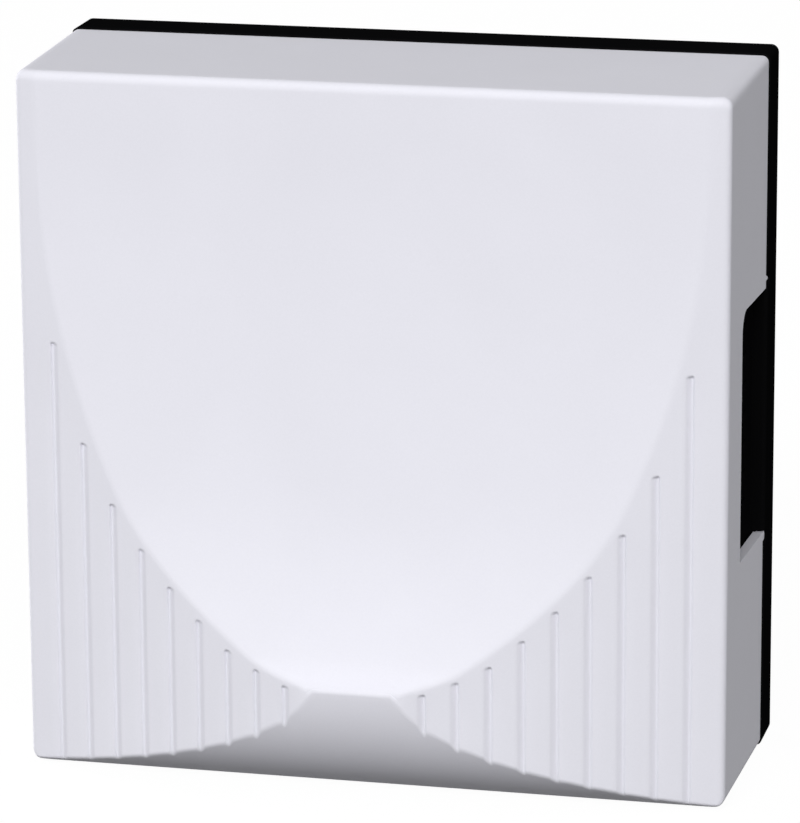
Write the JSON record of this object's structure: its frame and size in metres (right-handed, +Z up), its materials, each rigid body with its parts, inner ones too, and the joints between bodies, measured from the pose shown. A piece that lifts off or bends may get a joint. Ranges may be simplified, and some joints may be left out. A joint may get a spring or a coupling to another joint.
{
  "type": "doorbell chime box",
  "caption": "Square wall chime box with a sculpted white cover, ribbed lower corners and side sound notches, over a sprung solenoid plunger that strikes tone plates on either side.",
  "frame": {"origin": "middle of the tray's back face, on the wall", "axes": "+X to the right seen from the room, +Y into the wall, +Z up"},
  "size_m": [0.13, 0.0623, 0.13],
  "materials": {
    "tray_plastic": "black moulded ABS, fine matt texture",
    "cover_plastic": "white moulded ABS, fine matt texture",
    "tone_steel": "sheared bright steel bar",
    "grommet_rubber": "soft black rubber",
    "clip_steel": "blackened spring steel",
    "spool_nylon": "natural moulded nylon",
    "winding_copper": "enamelled copper wire",
    "coil_tape": "amber polyester tape",
    "brass": "drawn brass",
    "yoke_steel": "zinc plated sheet steel",
    "screw_steel": "zinc plated steel",
    "plunger_steel": "turned and plated steel",
    "striker_nylon": "natural moulded nylon",
    "spring_steel": "drawn spring wire",
    "block_plastic": "cream moulded plastic",
    "lead_insulation": "red insulated wire"
  },
  "bodies": {
    "base": {"base_plate": "tray_plastic", "left_tone_plate": "tone_steel", "right_tone_plate": "tone_steel", "left_plate_grommets": "grommet_rubber", "right_plate_grommets": "grommet_rubber", "left_plate_clips": "clip_steel", "right_plate_clips": "clip_steel", "coil_bobbin": "spool_nylon", "coil_winding": "winding_copper", "coil_tape": "coil_tape", "lead_pins": "brass", "guide_tube": "brass", "coil_yoke": "yoke_steel", "yoke_screws": "screw_steel", "return_spring": "spring_steel", "terminal_block": "block_plastic", "terminal_clamps": "brass", "terminal_screws": "screw_steel", "block_screws": "screw_steel", "coil_leads": "lead_insulation"},
    "cover": {"cover": "cover_plastic"},
    "plunger": {"plunger_core": "plunger_steel", "left_striker": "striker_nylon", "right_striker": "striker_nylon", "spring_clip": "clip_steel"}
  },
  "joints": [
    {"name": "cover_pull", "type": "slide", "parent": "base", "child": "cover", "axis": [0, -1, 0], "range_m": [0, 0.06]},
    {"name": "plunger_slide", "type": "slide", "parent": "base", "child": "plunger", "axis": [1, 0, 0], "range_m": [-0.0025, 0.008], "stiffness_N_per_m": 30, "deforming": ["return_spring"]}
  ]
}
